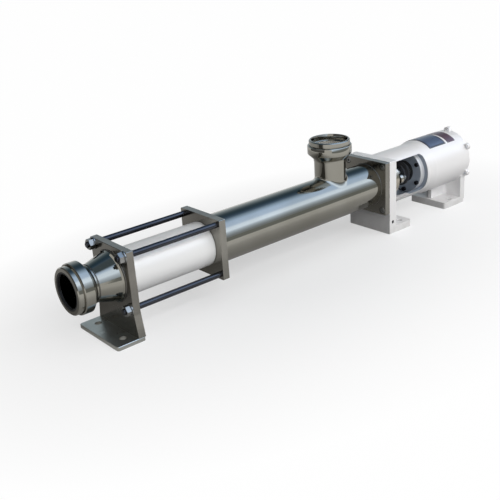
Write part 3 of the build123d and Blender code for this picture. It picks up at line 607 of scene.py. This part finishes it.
def make_sky():
    """Long curved backdrop over the pump, a painted reflection that only mirrors see:
    blue-grey, with a bright band low on the near side and a dark stretch above the discharge
    end."""
    start, end, first_x, last_x, distance = SKY[0][0], SKY[-1][0], -1.6, 6.0, 2.7
    work = bmesh.new()
    row = [work.verts.new(round_axis(start, distance, x)) for x in (first_x, last_x)]
    work.edges.new(row)
    bmesh.ops.spin(work, geom=work.verts[:] + work.edges[:], cent=AXIS, axis=ALONG,
                   dvec=(0, 0, 0), angle=radians(end - start), steps=42, use_merge=False,
                   use_duplicate=False)

    f = Finish("studio_sky")
    x, y, z = f.xyz()
    angle = f.maths("MULTIPLY", degrees(1),
                    f.maths("ARCTAN2", f.maths("MULTIPLY", y, -1.0),
                            f.maths("SUBTRACT", z, AXIS_H)))
    band = 45.0                      # below it the bright band widens towards the discharge
    past = f.maths("MULTIPLY", f.maths("MAXIMUM", f.maths("SUBTRACT", angle, band), 0.0),
                   f.ranged(x, first_x, 1.8, 0.42, 1.0))
    angle = f.maths("ADD", f.maths("MINIMUM", angle, band), past)
    ramp = f.node("ShaderNodeValToRGB")
    f.link(f.ranged(angle, start, end, 0, 1), ramp.inputs["Fac"])
    stops = ramp.color_ramp.elements
    for degree, colour in SKY:
        where = (degree - start) / (end - start)
        stop = {start: stops[0], end: stops[-1]}.get(degree) or stops.new(where)
        stop.position = where
        stop.color = (*(c / SKY_GLOW for c in colour), 1)
    shade = f.maths("MULTIPLY", f.ranged(angle, -20, -8, 0, 1), f.ranged(angle, 20, 30, 1, 0))
    shade = f.maths("MULTIPLY", shade, f.ranged(x, -0.3, 0.1, 1, 0))
    f.shader.inputs["Base Color"].default_value = (0, 0, 0, 1)
    f.link(f.blended(shade, ramp.outputs["Color"], DARK_STRETCH),
           f.shader.inputs["Emission Color"])
    f.shader.inputs["Emission Strength"].default_value = SKY_GLOW
    mirror_stage("studio_sky", work, f.material)


def make_low_card():
    """Grey strip low down on the near side, a painted reflection: the dark line along the
    tube's flank.
    """
    work = bmesh.new()
    drawn_out(work, [round_axis(a, 1.1, -0.6) for a in (80, 96)], (3.6, 0, 0))
    mirror_stage("low_card", work, emission("low_card", (0.36, 0.38, 0.37)))


def make_wall_flag():
    """Upright dark curtain beyond the discharge end, out of sight, a painted dark reflection
    for the steel.
    """
    work = bmesh.new()
    radius, height = 2.6, 2.2
    drawn_out(work, [(radius * cos(radians(a)), radius * sin(radians(a)), 0.0)
                     for a in range(112, 206, 8)], (0, 0, height))
    mirror_stage("wall_flag", work, emission("wall_flag", (0.16, 0.16, 0.16)))


def make_lamp(name, place, aim, power, size, size_y):
    """Soft rectangular lamp, long along the pump, that steel doesn't mirror."""
    lamp = bpy.data.lights.new(name, "AREA")
    lamp.shape = "RECTANGLE"
    lamp.size = size
    lamp.size_y = size_y
    lamp.energy = power
    made = bpy.data.objects.new(name, lamp)
    made.location = place
    back = (Vector(place) - Vector(aim)).normalized()
    up = back.cross(ALONG).normalized()
    side = up.cross(back)
    made.rotation_euler = Matrix((side, up, back)).transposed().to_euler()
    made.visible_glossy = False
    bpy.context.scene.collection.objects.link(made)


def make_world():
    """Faint even fill, and white wherever the eye, a mirror or glass looks past the floor."""
    world = bpy.data.worlds.new("studio")
    bpy.context.scene.world = world
    world.use_nodes = True
    tree = world.node_tree
    tree.nodes.clear()
    fill = tree.nodes.new("ShaderNodeBackground")
    fill.inputs["Strength"].default_value = 0.11
    white = tree.nodes.new("ShaderNodeBackground")
    white.inputs["Color"].default_value = (1, 1, 1, 1)
    white.inputs["Strength"].default_value = 1.0
    mix = tree.nodes.new("ShaderNodeMixShader")
    out = tree.nodes.new("ShaderNodeOutputWorld")
    tree.links.new(seen_directly(tree), mix.inputs["Fac"])
    tree.links.new(fill.outputs["Background"], mix.inputs[1])
    tree.links.new(white.outputs["Background"], mix.inputs[2])
    tree.links.new(mix.outputs["Shader"], out.inputs["Surface"])


def make_camera():
    """Camera on the near side, above the discharge end."""
    place = (-1.11095, -1.2134, 0.6954)
    turn, tilt, roll = radians(50.952), radians(-22.08), radians(-3.95)
    forward = Vector((cos(tilt) * cos(turn), cos(tilt) * sin(turn), sin(tilt)))
    level = Vector((sin(turn), -cos(turn), 0))
    upright = level.cross(forward)
    right = level * cos(roll) + upright * sin(roll)
    up = upright * cos(roll) - level * sin(roll)
    lens = bpy.data.cameras.new("camera")
    lens.sensor_width = 36.0
    lens.lens = 57.5
    lens.clip_end = 100.0
    camera = bpy.data.objects.new("camera", lens)
    camera.matrix_world = (Matrix.Translation(place)
                           @ Matrix((right, up, -forward)).transposed().to_4x4())
    bpy.context.scene.collection.objects.link(camera)
    bpy.context.scene.camera = camera


make_floor()
make_world()
make_sky()
make_low_card()
make_wall_flag()
make_lamp("key_light", round_axis(52, 2.5, 1.7), ALONG * 1.7 + AXIS, 64.0, 6.0, 0.80)
make_lamp("top_light", (0.5, -0.5, 2.2), AXIS + ALONG * 0.5, 9.0, 2.4, 1.4)
make_lamp("front_light", round_axis(80, 2.0, -0.15), AXIS - ALONG * 0.3, 11.5, 0.5, 0.40)
make_camera()
bpy.context.scene.view_settings.view_transform = "Standard"
